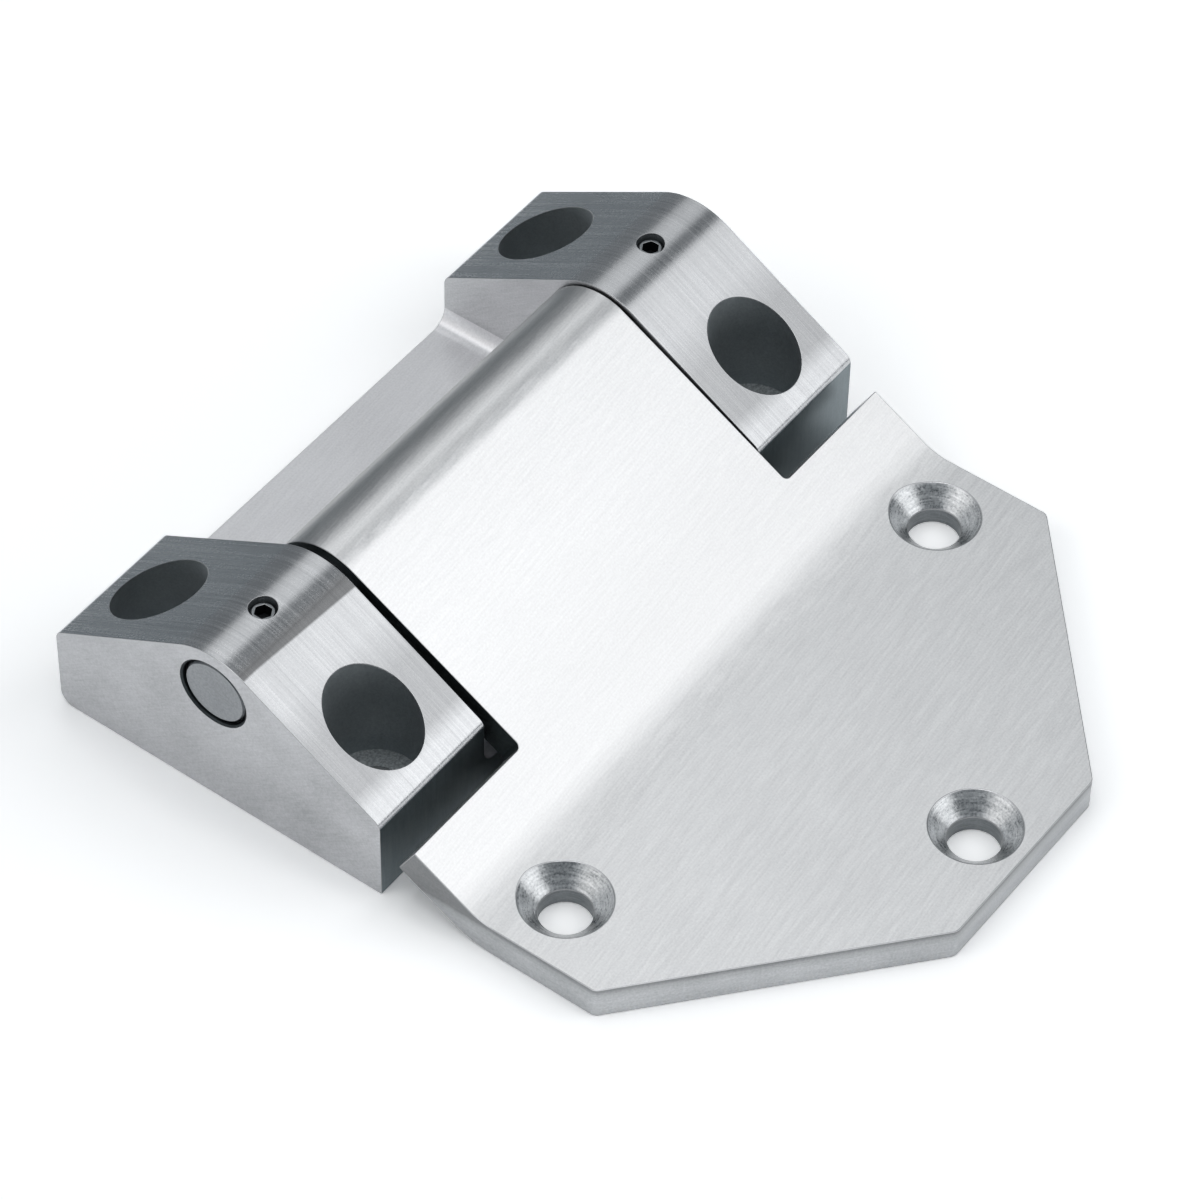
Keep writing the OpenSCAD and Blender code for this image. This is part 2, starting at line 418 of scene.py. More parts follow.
class Board:
    """A node tree, filled and wired by short calls."""

    def __init__(self, owner: bpy.types.Material | bpy.types.World) -> None:
        """Empties the node tree of a new material or world.

        Args:
            owner: the material or world.
        """
        self.owner = owner
        owner.use_nodes = True
        self.tree = owner.node_tree
        self.tree.nodes.clear()
        self.places = self.add("TexCoord", "Place")

    def add(self, kind: str, label: str, **inputs: Input) -> bpy.types.Node:
        """Adds one node with a label and feeds its inputs.

        Args:
            kind: the node's type, without the ShaderNode that it starts with.
            label: its label.
            inputs: what each input gets, under the input's name with _ for a space.

        Returns:
            The node.
        """
        node = self.tree.nodes.new("ShaderNode" + kind)
        node.label = label
        for name, value in inputs.items():
            self.feed(node.inputs[name.replace("_", " ")], value)
        return node

    def feed(self, target: Socket, value: Input) -> None:
        """Wires a value to an input, or writes it there.

        Args:
            target: the input.
            value: the value.
        """
        if isinstance(value, Socket):
            self.tree.links.new(value, target)
        else:
            target.default_value = value

    def along(self, axis: str) -> Socket:
        """Gives the place on the object along one axis, in metres."""
        place = self.places.outputs["Object"]
        return self.add("SeparateXYZ", "Place along " + axis, Vector=place).outputs[axis]

    def noise(self, label: str, turn: Triple, cell: Iterable[float], detail: float) -> Socket:
        """Adds a noise whose cells are stretched in a turned frame.

        Args:
            label: the node's label.
            turn: the frame's turn, in degrees.
            cell: the size of a cell along each axis of the frame.
            detail: the noise's detail.

        Returns:
            The noise's value.
        """
        turned = self.add(
            "Mapping", label + " frame", Vector=self.places.outputs["Object"],
            Rotation=[math.radians(a) for a in turn], Scale=[c * MM for c in cell],
        )
        turned.vector_type = "TEXTURE"
        place = turned.outputs["Vector"]
        return self.add("TexNoise", label, Vector=place, Scale=1.0, Detail=detail).outputs["Fac"]

    def combine(
        self, label: str, operation: str, first: Socket, second: Input, clamp: bool = False
    ) -> Socket:
        """Adds a sum, product or other operation of two values.

        Args:
            label: the node's label.
            operation: the operation's name.
            first: the first value.
            second: the second value, wired or written.
            clamp: whether the result stays between 0 and 1.

        Returns:
            The result.
        """
        node = self.add("Math", label)
        node.operation = operation
        node.use_clamp = clamp
        self.feed(node.inputs[0], first)
        self.feed(node.inputs[1], second)
        return node.outputs["Value"]

    def blend_sum(self, label: str, parts: list[tuple[Socket, float]], start: float) -> Socket:
        """Adds up values, each with its own strength, from a start.

        Args:
            label: the label of the nodes.
            parts: each value with its strength.
            start: what the sum starts from.

        Returns:
            The sum, between 0 and 1.
        """
        total: Socket | None = None
        for value, strength in parts:
            share = self.combine(label, "MULTIPLY", value, strength)
            total = share if total is None else self.combine(label, "ADD", total, share)
        return self.combine(label, "ADD", total, start, clamp=True)

    def mix(self, label: str, factor: Socket, low: Triple, high: Triple) -> Socket:
        """Mixes two colours by a value.

        Args:
            label: the node's label.
            factor: the value, from 0 for the first colour to 1 for the second.
            low: the first colour.
            high: the second colour.

        Returns:
            The mixed colour.
        """
        node = self.add("Mix", label)
        node.data_type = "RGBA"
        self.feed(node.inputs["Factor"], factor)
        ends = (socket for socket in node.inputs if socket.type == "RGBA")
        for end, colour in zip(ends, (low, high)):
            self.feed(end, (*colour, 1.0))
        return next(socket for socket in node.outputs if socket.type == "RGBA")

    def along_line(self, axis: str, stops: tuple[Point, ...], unit: float = 1.0) -> Socket:
        """Runs a value straight from stop to stop along one axis.

        Args:
            axis: the axis, X, Y or Z.
            stops: each place with the value there.
            unit: what one of the value's units is.

        Returns:
            The value.
        """
        place = self.along(axis)
        total: Socket | None = None
        for (start, low), (end, high) in zip(stops, stops[1:]):
            step = self.add(
                "MapRange", "Step along " + axis, Value=place,
                From_Min=start * MM, From_Max=end * MM, To_Min=0.0, To_Max=(high - low) * unit,
            )
            rise = step.outputs["Result"]
            total = rise if total is None else self.combine("Line", "ADD", total, rise)
        return self.combine("Line", "ADD", total, stops[0][1] * unit)

    # Painted shade: the share made here darkens the colour in a band beside the near block's ridge.
    def painted_shade_band(self, start: float, inner: Point, outer: Point, kept: float) -> Socket:
        """Makes a share that falls softly from a start and ends sharply at a slanted line.

        Args:
            start: where the band starts along Y.
            inner: a place along X with the band's end along Y there.
            outer: a second such place, further out.
            kept: the share that the band keeps.

        Returns:
            The share, 1 outside the band and on the far side.
        """
        fall_width, end_width = 1.2, 0.3
        end = self.along_line("X", (inner, outer), MM)
        fall = self.along_line("Y", ((start, 0.0), (start + fall_width, kept - 1.0)))
        before = self.combine("Before the end", "SUBTRACT", end, self.along("Y"))
        before = self.combine("Before the end", "MULTIPLY", before, 1.0 / (end_width * MM), clamp=True)
        near_side = self.combine("Near side", "GREATER_THAN", self.along("X"), 0.0)
        band = self.combine("Band", "MULTIPLY", self.combine("Band", "MULTIPLY", fall, before), near_side)
        return self.combine("Band", "ADD", band, 1.0)

    def scale(self, colour: Socket, share: Socket) -> Socket:
        """Scales a colour by a share.

        Args:
            colour: the colour.
            share: the share.

        Returns:
            The scaled colour.
        """
        node = self.add("VectorMath", "Scaled colour")
        node.operation = "SCALE"
        self.feed(node.inputs["Vector"], colour)
        self.feed(node.inputs["Scale"], share)
        return node.outputs["Vector"]

    def finish(self, shader: Socket, kind: str = "OutputMaterial") -> None:
        """Wires the shader to the surface of the material or world."""
        self.add(kind, "Surface", Surface=shader)


class Face(Enum):
    """The finishes that the hinge's faces have."""

    LEAF_TOP = Steel(
        "leaf_brushed_steel_with_painted_light", (0.97, 0.97, 0.97), (0.70, 0.70, 0.705), 0.40, Grain.ALONG_PIN,
        streak=0.42, grit=0.30, mottle=0.10, relief=0.30, haze=((44.0, 0.0), (49.5, 0.22), (55.0, 0.0)),
        # Painted light along Y: painted shade on the knuckle's back, darkest at its rear, a painted dip
        # beside the knuckle's highlight, and a little painted shade on the arm before the bend.
        tones_and_painted_light=(
            (-8.8, 0.42), (-7.0, 0.58), (-4.3, 0.60), (-2.0, 0.74), (-0.3, 0.88), (0.6, 0.97),
            (1.9, 0.87), (3.2, 1.0), (20.0, 1.0), (36.0, 0.94), (46.0, 0.94), (51.0, 1.0),
        ),
    )
    LEAF_UNDER = Steel(
        "leaf_underside_steel", (0.62, 0.63, 0.64), (0.40, 0.41, 0.42), 0.48, Grain.CAST,
        streak=0.3, grit=0.4,
    )
    LEAF_EDGE = Steel(
        "leaf_edge_steel", (0.60, 0.61, 0.62), (0.30, 0.31, 0.32), 0.40, Grain.LEVEL,
        streak=0.22, grit=0.28, mottle=0.30, relief=0.22,
        # The colour grows darker from the middle of the flange's thickness upwards.
        tones_and_painted_light=((3.6, 1.04), (4.9, 0.84), (5.6, 0.52)), tones_axis="Z",
    )
    # Painted shade: the knuckle's and arm's sides, which face the blocks across narrow gaps, get a
    # near-black, bluish steel.
    LEAF_SIDE = Steel(
        "leaf_side_painted_shade", (0.20, 0.23, 0.24), (0.06, 0.075, 0.08), 0.42, Grain.LEVEL,
        streak=0.3, grit=0.4, relief=0.4,
    )
    COUNTERSINK = Steel(
        "countersink_turned_steel", (0.83, 0.84, 0.85), (0.24, 0.255, 0.265), 0.30, Grain.TURNED,
        streak=0.55, grit=0.40, mottle=0.05, relief=0.6,
    )
    # Painted shade: the walls of the drilled holes and of the leaf's bore get a dark, bluish steel.
    HOLE = Steel("drilled_steel_painted_shade", (0.30, 0.32, 0.33), (0.10, 0.11, 0.12), 0.45, Grain.TURNED)
    # Painted shade: the base's pin bore and its chamfered mouths, a ring round each pin end, are near
    # black.
    BORE = Steel("pin_bore_painted_shade", (0.06, 0.07, 0.075), (0.02, 0.024, 0.026), 0.50, Grain.TURNED)
    BLOCK_TOP = Steel(
        "block_brushed_steel_with_painted_light", (0.64, 0.645, 0.655), (0.29, 0.295, 0.305), 0.26, Grain.ACROSS_PIN,
        streak=0.36, grit=0.12, mottle=0.12, relief=0.10,
        # Painted light along Y: the rear slope lighter, a painted highlight on the ridge, painted shade
        # on the lower slope towards the leaf and a painted highlight along its eave.
        tones_and_painted_light=(
            (-9.0, 1.18), (-5.0, 1.12), (-1.6, 1.0), (0.4, 1.20), (2.0, 1.25), (3.2, 1.0),
            (6.4, 1.0), (8.0, 1.06), (12.0, 1.06), (18.0, 0.78), (26.0, 0.78), (28.5, 1.18),
        ),
        # Painted shade in a band beside the near block's ridge.
        painted_shade=(4.0, (32.0, 7.3), (57.0, 6.2), 0.33),
    )
    BLOCK_END = Steel(
        "block_end_steel", (0.60, 0.605, 0.62), (0.35, 0.355, 0.365), 0.38, Grain.DIAGONAL,
        streak=0.30, grit=0.30, mottle=0.45, relief=0.3,
    )
    # Painted shade: the walls under the eaves that face the leaf across the notch get a dark, bluish
    # steel.
    BLOCK_WALL = Steel(
        "block_wall_painted_shade", (0.24, 0.28, 0.30), (0.12, 0.15, 0.16), 0.34, Grain.UPRIGHT,
        streak=0.35, grit=0.2,
    )
    WEB_TOP = Steel(
        "web_ground_steel", (0.82, 0.82, 0.835), (0.58, 0.58, 0.595), 0.40, Grain.ALONG_PIN,
        streak=0.3, grit=0.3, mottle=0.4,
    )
    BASE_UNDER = Steel(
        "base_underside_steel", (0.56, 0.57, 0.58), (0.36, 0.37, 0.38), 0.50, Grain.CAST,
        streak=0.3, grit=0.4,
    )
    COUNTERBORE = Steel(
        "counterbore_cast_steel", (0.42, 0.45, 0.465), (0.27, 0.30, 0.315), 0.55, Grain.CAST,
        streak=0.2, grit=0.5, relief=0.2,
    )
    COUNTERBORE_FLOOR = Steel(
        "counterbore_floor_steel", (0.58, 0.61, 0.625), (0.27, 0.29, 0.30), 0.60, Grain.CAST,
        streak=0.2, grit=0.8, relief=0.5,
    )
    EDGE = Steel(
        "worn_edge_steel", (0.52, 0.525, 0.535), (0.38, 0.385, 0.395), 0.30, Grain.CAST,
        streak=0.1, grit=0.1, relief=0.05,
    )
    PIN_END = Steel(
        "pin_end_steel", (0.36, 0.375, 0.39), (0.20, 0.21, 0.22), 0.42, Grain.CAST,
        streak=0.2, grit=0.4, mottle=0.4,
    )
    # Painted shade: the pin's side, seen only in the gaps beside the knuckle, is near black.
    PIN_SIDE = Steel("pin_turned_steel_painted_shade", (0.16, 0.17, 0.18), (0.05, 0.055, 0.06), 0.30, Grain.ACROSS_PIN)
    SCREW = Steel(
        "screw_dark_steel", (0.34, 0.36, 0.37), (0.10, 0.11, 0.12), 0.30, Grain.TURNED,
        streak=0.3, grit=0.3,
    )
    # Painted shade: the walls and floor of the screws' hex sockets are near black.
    SOCKET = Steel("screw_socket_painted_shade", (0.05, 0.055, 0.06), (0.015, 0.017, 0.02), 0.55, Grain.CAST)


@dataclass
class Piece:
    """What all the hinge's pieces share: how edges are broken, faces dressed and the body followed."""

    node: str
    body: str
    slot: str
    name: str
    edge_break: float = 0.12
    edge_steps: int = 2
    pin_height: float = 23.5
    faces: list[Face] = field(default_factory=list)
    solid: Solid = field(init=False)

    def shape(self) -> Solid:
        """Models the piece and returns it."""
        raise NotImplementedError

    def face_of(self, centre: Vector, normal: Vector) -> Face:
        """Names the finish of a face by its centre and its normal."""
        raise NotImplementedError

    def breaks(self, middle: Vector) -> bool:
        """Says whether a sharp edge with this middle is broken."""
        return True

    def off_pin(self, place: Vector) -> float:
        """Distance of a place from the pin's axis."""
        return math.hypot(place.y, place.z - self.pin_height)

    @property
    def worn(self) -> int:
        """The place of the worn finish among the piece's finishes, or -1."""
        return self.faces.index(Face.EDGE) if Face.EDGE in self.faces else -1

    def break_edges(self) -> None:
        """Bevels the sharp outer edges a little, and gives the new faces the worn finish."""
        edit(self.solid, "EDGE")
        bpy.ops.mesh.edges_select_sharp(sharpness=math.radians(BROKEN_FROM))
        mesh = bmesh.from_edit_mesh(self.solid.data)
        for edge in mesh.edges:
            middle = (edge.verts[0].co + edge.verts[1].co) / 2 / MM
            if edge.select and not (edge.is_convex and self.breaks(middle)):
                edge.select_set(False)
        bmesh.update_edit_mesh(self.solid.data)
        bpy.ops.transform.edge_bevelweight(value=1.0)
        apply(
            self.solid, "BEVEL", width=self.edge_break * MM, segments=self.edge_steps,
            limit_method="WEIGHT", use_clamp_overlap=False, material=self.worn,
        )

    def dress(self) -> None:
        """Gives each face its finish by its place and normal."""
        for polygon in self.solid.data.polygons:
            if polygon.material_index != self.worn:
                face = self.face_of(polygon.center / MM, polygon.normal)
                polygon.material_index = self.faces.index(face)

    def smooth(self) -> None:
        """Shades the rounds smooth and keeps the flat faces flat."""
        hold(self.solid)
        bpy.ops.object.shade_smooth_by_angle(angle=math.radians(SMOOTH_TO))
        apply(self.solid, "WEIGHTED_NORMAL", keep_sharp=True, weight=100)

    def make(self, steels: dict[Face, bpy.types.Material]) -> Solid:
        """Models, dresses and places the piece.

        Args:
            steels: the material of each finish.

        Returns:
            The finished piece, in place of its node.
        """
        piece = self.solid = self.shape()
        piece.name = self.name
        piece.data.name = self.name
        piece.data.materials.clear()
        for face in self.faces:
            piece.data.materials.append(steels[face])
        self.tidy()
        self.break_edges()
        self.dress()
        self.smooth()
        clear()
        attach(piece, self.body)
        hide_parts(self.node)
        log.info("%s: %d faces, in place of %s", piece.name, len(piece.data.polygons), self.node)
        return piece

    def tidy(self) -> None:
        """Merges what the cuts left doubled and drops the edges that lie inside flat faces."""
        same_point = 0.002 * MM
        edit(self.solid, "VERT", whole=True)
        bpy.ops.mesh.remove_doubles(threshold=same_point)
        bpy.ops.mesh.dissolve_limited(angle_limit=math.radians(FLAT_TO), use_dissolve_boundaries=False)
        bpy.ops.mesh.normals_make_consistent(inside=False)
        clear()
        for polygon in self.solid.data.polygons:
            polygon.material_index = 0


@dataclass
class BaseCasting(Piece):
    """The base: two roof-shaped bearing blocks on a low web, one casting. Sizes in millimetres."""

    node: str = "base"
    body: str = "fixed_side"
    slot: str = "base_steel"
    name: str = "base_casting"
    length: float = 120.0
    depth: float = 62.0
    block_width: float = 25.0
    ridge_height: float = 32.0
    block_slope: float = 30.5
    ridge_radius: float = 12.0
    eave_radius: float = 2.0
    foot_radius: float = 2.5
    web_height: float = 6.0
    web_fillet: float = 3.0
    bore_radius: float = 6.02
    bore_chamfer: float = 0.3
    bolt_along: float = 48.0
    bolt_across: float = 20.5
    bolt_radius: float = 4.2
    counterbore_radius: float = 7.5
    counterbore_floor: float = 5.5
    screw_radius: float = 2.22
    faces: list[Face] = field(default_factory=lambda: [
        Face.BLOCK_TOP, Face.BLOCK_END, Face.BLOCK_WALL, Face.WEB_TOP, Face.BASE_UNDER,
        Face.COUNTERBORE, Face.COUNTERBORE_FLOOR, Face.HOLE, Face.BORE, Face.EDGE,
    ])

    @property
    def half(self) -> float:
        """Half the depth."""
        return self.depth / 2

    @property
    def apex(self) -> float:
        """Height where the two slopes would meet."""
        slope = math.radians(self.block_slope)
        return self.ridge_height - self.ridge_radius + self.ridge_radius / math.cos(slope)

    @property
    def eave(self) -> float:
        """Height where a slope would meet the wall under it."""
        return self.apex - self.half * math.tan(math.radians(self.block_slope))

    @property
    def inner(self) -> float:
        """Distance of a block's inner face from the middle."""
        return self.length / 2 - self.block_width

    def shape(self) -> Solid:
        """Draws the gable section out over the whole length, then cuts the channel and the holes.

        Returns:
            The casting.
        """
        piece = self.gable()
        cut(piece, self.channel())
        for x in (-self.bolt_along, self.bolt_along):
            bolts = [
                hole_tool(
                    (x, y), self.bolt_radius, self.counterbore_floor, 0.0,
                    self.counterbore_radius, self.ridge_height, sides=72,
                )
                for y in (-self.bolt_across, self.bolt_across)
            ]
            foot = (x, 0, self.pin_height)
            screw = rod("screw_hole", foot, self.screw_radius, self.ridge_height, sides=64)
            cut(piece, *bolts, screw)
        cut(piece, self.bore_cutter())
        return piece

    def gable(self) -> Solid:
        """The full length of the roof section, with its rounded ridge, eaves and foot.

        Returns:
            The gabled bar.
        """
        slope = math.radians(self.block_slope)
        centre = (0.0, self.ridge_height - self.ridge_radius)
        ridge_y = self.ridge_radius * math.sin(slope)
        ridge_z = centre[1] + self.ridge_radius * math.cos(slope)
        reach = self.eave_radius * math.tan((math.pi / 2 - slope) / 2)
        eave_centre = (self.half - self.eave_radius, self.eave - reach)
        eave_y = eave_centre[0] + self.eave_radius * math.sin(slope)
        eave_z = eave_centre[1] + self.eave_radius * math.cos(slope)
        outline = Outline("gable", -self.length / 2, (self.half, 0.0))
        outline.line((self.half, eave_centre[1]))
        outline.arc(eave_centre, (eave_y, eave_z), steps=10, clockwise=False)
        outline.line((ridge_y, ridge_z))
        outline.arc(centre, (-ridge_y, ridge_z), steps=30, clockwise=False)
        outline.line((-eave_y, eave_z))
        rear_centre = (-eave_centre[0], eave_centre[1])
        outline.arc(rear_centre, (-self.half, eave_centre[1]), steps=10, clockwise=False)
        outline.line((-self.half, self.foot_radius))
        foot = (-self.half + self.foot_radius, self.foot_radius)
        outline.arc(foot, (foot[0], 0.0), steps=12, clockwise=False)
        return outline.draw_out(self.length / 2)

    def channel(self) -> Solid:
        """The body that is cut out between the blocks, with rounds for the web's fillets.

        Returns:
            The tool.
        """
        past = 5
        low = (-self.inner, -self.half - past, self.web_height)
        tool = bar("channel", low, (self.inner, self.half + past, self.ridge_height + past))

        def lower_long_edge(a: Vector, b: Vector) -> bool:
            return max(a.z, b.z) < self.web_height + NEAR and same(a.x, b.x)

        round_edges(tool, lower_long_edge, self.web_fillet, 12)
        return tool

    def bore_cutter(self) -> Solid:
        """The pin's bore with its two chamfered mouths.

        Returns:
            The tool.
        """
        end, past = self.length / 2, 2
        mouth = self.bore_radius + self.bore_chamfer
        foot = (-end - past, 0, self.pin_height)
        tool = rod("bore", foot, mouth, self.length + 2 * past, along="X")
        edit(tool, "VERT")
        inner_end = end - self.bore_chamfer
        for place, outwards in ((-end, -1), (-inner_end, -1), (inner_end, 1), (end, 1)):
            bpy.ops.mesh.select_all(action="SELECT")
            bpy.ops.mesh.bisect(plane_co=(place * MM, 0.0, 0.0), plane_no=(outwards, 0.0, 0.0))
        bpy.ops.mesh.select_all(action="DESELECT")
        mesh = bmesh.from_edit_mesh(tool.data)
        for vert in mesh.verts:
            if abs(vert.co.x / MM) < inner_end + NEAR:
                vert.select_set(True)
        bmesh.update_edit_mesh(tool.data)
        shrink, centre = self.bore_radius / mouth, (0.0, 0.0, self.pin_height * MM)
        bpy.ops.transform.resize(value=(1.0, shrink, shrink), center_override=centre)
        clear()
        return tool

    def off_bolt(self, place: Vector) -> float:
        """Distance of a place from the axis of the nearest bolt."""
        return math.hypot(abs(place.x) - self.bolt_along, abs(place.y) - self.bolt_across)

    def breaks(self, middle: Vector) -> bool:
        """Leaves the bolt holes' edges on the counterbore floors and the pin bore's mouths sharp."""
        mouth = self.off_pin(middle) < self.bore_radius + self.bore_chamfer + SLACK
        return not mouth and (self.off_bolt(middle) > self.bolt_radius + 0.5 or middle.z < 1.0)

    def face_of(self, centre: Vector, normal: Vector) -> Face:
        """Names a face's finish from where it lies and which way it faces.

        Args:
            centre: the face's centre.
            normal: its normal.

        Returns:
            The finish.
        """
        under, front, rear, end = -0.6, 0.97, -0.95, 0.9
        off, mouth = self.off_bolt(centre), self.bore_radius + self.bore_chamfer
        if off < self.counterbore_radius + SLACK and abs(normal.z) < STEEP:
            return Face.COUNTERBORE if centre.z > self.counterbore_floor + SLACK else Face.HOLE
        if off < self.counterbore_radius and abs(centre.z - self.counterbore_floor) < SLACK:
            return Face.COUNTERBORE_FLOOR
        below_top = centre.z < self.pin_height + mouth
        if self.off_pin(centre) < mouth + SLACK and abs(normal.x) < end and below_top:
            return Face.BORE
        off_screw = math.hypot(abs(centre.x) - self.bolt_along, centre.y)
        if off_screw < self.screw_radius + SLACK and abs(normal.z) < STEEP:
            return Face.HOLE
        if normal.z < under:
            return Face.BASE_UNDER
        if normal.y > front:
            return Face.BLOCK_WALL
        if normal.y < rear:
            return Face.BLOCK_END
        if abs(centre.x) < self.inner - NEAR and centre.z < self.web_height + self.web_fillet + SLACK:
            return Face.WEB_TOP
        return Face.BLOCK_END if abs(normal.x) > end else Face.BLOCK_TOP


@dataclass
class LeafCasting(Piece):
    """The leaf: knuckle, sloping arm, bend and tapered flange, one casting. Sizes in millimetres."""

    node: str = "leaf"
    body: str = "leaf_side"
    slot: str = "leaf_steel"
    name: str = "leaf_casting"
    knuckle_radius: float = 9.8
    knuckle_height: float = 21.67
    bore_radius: float = 6.05
    arm_slope: float = 29.0
    thickness: float = 6.0
    arm_fillet: float = 6.0
    bend_radius: float = 10.0
    width: float = 118.0
    knuckle_left: float = -34.7
    knuckle_right: float = 33.3
    shoulder_reach: float = 36.5
    notch_radius: float = 1.0
    taper_reach: float = 69.5
    reach: float = 105.0
    end_width: float = 36.0
    corner_reach: float = 0.63
    hole_radius: float = 4.2
    countersink_radius: float = 7.2
    outer_holes: tuple[float, float] = (48.0, 56.0)
    end_hole: float = 96.0
    edge_break: float = 0.14
    faces: list[Face] = field(default_factory=lambda: [
        Face.LEAF_TOP, Face.LEAF_UNDER, Face.LEAF_EDGE, Face.LEAF_SIDE, Face.COUNTERSINK,
        Face.HOLE, Face.EDGE,
    ])

    @property
    def slope(self) -> float:
        """The arm's fall, in radians."""
        return math.radians(self.arm_slope)

    @property
    def holes(self) -> list[Point]:
        """The places of the three screw holes."""
        x, y = self.outer_holes
        return [(-x, y), (x, y), (0.0, self.end_hole)]

    @property
    def shoulder_along(self) -> float:
        """Distance of the shoulders along the arm, from the normal through the knuckle's middle."""
        return (self.shoulder_reach - self.knuckle_radius * math.sin(self.slope)) / math.cos(self.slope)

    def on_arm(self, along: float, out: float) -> Point:
        """Turns a place along the arm and out of it into Y and Z.

        Args:
            along: the place along the arm's fall, from the knuckle's middle.
            out: the place out of the arm.

        Returns:
            Y and Z.
        """
        y = along * math.cos(self.slope) + out * math.sin(self.slope)
        z = self.knuckle_height - along * math.sin(self.slope) + out * math.cos(self.slope)
        return (y, z)

    def shape(self) -> Solid:
        """Draws the whole section out, then cuts the notches, the tapers and the holes.

        Returns:
            The casting.
        """
        piece = self.section()
        cut(piece, self.notch(self.knuckle_right, 1), self.notch(self.knuckle_left, -1))
        half, end = self.width / 2, self.end_width / 2
        run = self.reach - self.taper_reach
        for side in (-1, 1):
            trim(piece, (side * half, self.taper_reach, 0.0), (side * run, half - end, 0.0))
        round_edges(piece, self.is_corner, self.corner_reach, 6)
        foot = (-half, 0, self.pin_height)
        cut(piece, rod("knuckle_bore", foot, self.bore_radius, self.width, along="X"))
        depth = self.countersink_radius - self.hole_radius
        floor, rise = self.thickness - depth, depth + 1.0
        wide = self.hole_radius + rise
        cut(piece, *[
            hole_tool(at, self.hole_radius, floor, rise, wide, above=0.0, sides=96)
            for at in self.holes
        ])
        return piece

    def is_corner(self, a: Vector, b: Vector) -> bool:
        """Picks the four upright edges where the tapers start and end.

        Args:
            a: one end of an edge.
            b: its other end.

        Returns:
            Whether it is one of them.
        """
        upright = same(a.x, b.x) and same(a.y, b.y) and not same(a.z, b.z)
        start = same(a.y, self.taper_reach) and same(abs(a.x), self.width / 2)
        end = same(a.y, self.reach) and same(abs(a.x), self.end_width / 2)
        return upright and (start or end)

    def section(self) -> Solid:
        """The leaf's section: knuckle, blended arm, bend and flange, over its full width.

        Returns:
            The uncut leaf.
        """
        radius, under = self.knuckle_radius, self.knuckle_radius - self.thickness
        middle = (0.0, self.knuckle_height)
        blend_out = under - self.arm_fillet
        blend_along = math.sqrt((radius + self.arm_fillet) ** 2 - blend_out ** 2)
        blend = self.on_arm(blend_along, blend_out)
        share = radius / (radius + self.arm_fillet)
        meet = (blend[0] * share, middle[1] + (blend[1] - middle[1]) * share)
        bend_y = (middle[1] + radius / math.cos(self.slope) - self.thickness) / math.tan(self.slope)
        under_y = bend_y - self.thickness * math.tan(self.slope / 2)
        top_reach = self.bend_radius * math.tan(self.slope / 2)
        under_reach = (self.bend_radius + self.thickness) * math.tan(self.slope / 2)
        outer = self.on_arm(0.0, radius)
        outline = Outline("leaf", -self.width / 2, outer)
        outline.arc(middle, meet, steps=60, clockwise=False)
        outline.arc(blend, self.on_arm(blend_along, under), steps=14, clockwise=True)
        fall = (math.cos(self.slope), -math.sin(self.slope))
        outline.line((under_y - under_reach * fall[0], -under_reach * fall[1]))
        under_centre = (under_y + under_reach, self.bend_radius + self.thickness)
        outline.arc(under_centre, (under_y + under_reach, 0.0), steps=12, clockwise=False)
        outline.line((self.reach, 0.0))
        outline.line((self.reach, self.thickness))
        outline.line((bend_y + top_reach, self.thickness))
        top_centre = (bend_y + top_reach, self.thickness + self.bend_radius)
        top_end = (bend_y - top_reach * fall[0], self.thickness - top_reach * fall[1])
        outline.arc(top_centre, top_end, steps=12, clockwise=True)
        return outline.draw_out(self.width / 2)

    def notch(self, arm_side: float, side: int) -> Solid:
        """The body that clears a bearing block beside the arm, up to the shoulder.

        Args:
            arm_side: the arm's side face along X.
            side: 1 for the right block, -1 for the left one.

        Returns:
            The tool, with a round on the edge that leaves the notch's fillet.
        """
        behind, below, above, past = 20.0, 14.0, 16.0, 2.0
        low, high = sorted((arm_side, side * (self.width / 2 + past)))
        tool = bar("notch", (low, -behind, -below), (high, self.shoulder_along, above))

        def inner_edge(a: Vector, b: Vector) -> bool:
            at_arm = same(a.x, arm_side) and same(b.x, arm_side)
            return at_arm and min(a.y, b.y) > self.shoulder_along - NEAR

        round_edges(tool, inner_edge, self.notch_radius, 8)
        tool.location = (0.0, 0.0, self.knuckle_height * MM)
        tool.rotation_euler = (-self.slope, 0.0, 0.0)
        return settle(tool, "notch")

    def face_of(self, centre: Vector, normal: Vector) -> Face:
        """Names a face's finish from where it lies and which way it faces.

        Args:
            centre: the face's centre.
            normal: its normal.

        Returns:
            The finish.
        """
        level, rear, side, beside_arm, near_shoulder = 0.95, -0.6, 0.5, 36.0, 5
        for x, y in self.holes:
            off = math.hypot(centre.x - x, centre.y - y)
            cone = STEEP < normal.z < level and centre.z < self.thickness
            if off < self.countersink_radius and cone:
                return Face.COUNTERSINK
            if off < self.hole_radius + SLACK and abs(normal.z) < STEEP:
                return Face.HOLE
        if self.off_pin(centre) < self.bore_radius + SLACK and abs(normal.x) < side:
            return Face.HOLE
        aside = abs(normal.x) > STEEP
        if aside and centre.y < self.shoulder_reach + 2 and abs(centre.x) < beside_arm:
            return Face.LEAF_SIDE
        if aside or (normal.y > STEEP and abs(normal.z) < STEEP):
            return Face.LEAF_EDGE
        if centre.y > self.knuckle_radius and normal.z < STEEP:
            shoulder = normal.y < rear and centre.y > self.shoulder_reach - near_shoulder
            return Face.LEAF_EDGE if shoulder else Face.LEAF_UNDER
        return Face.LEAF_TOP


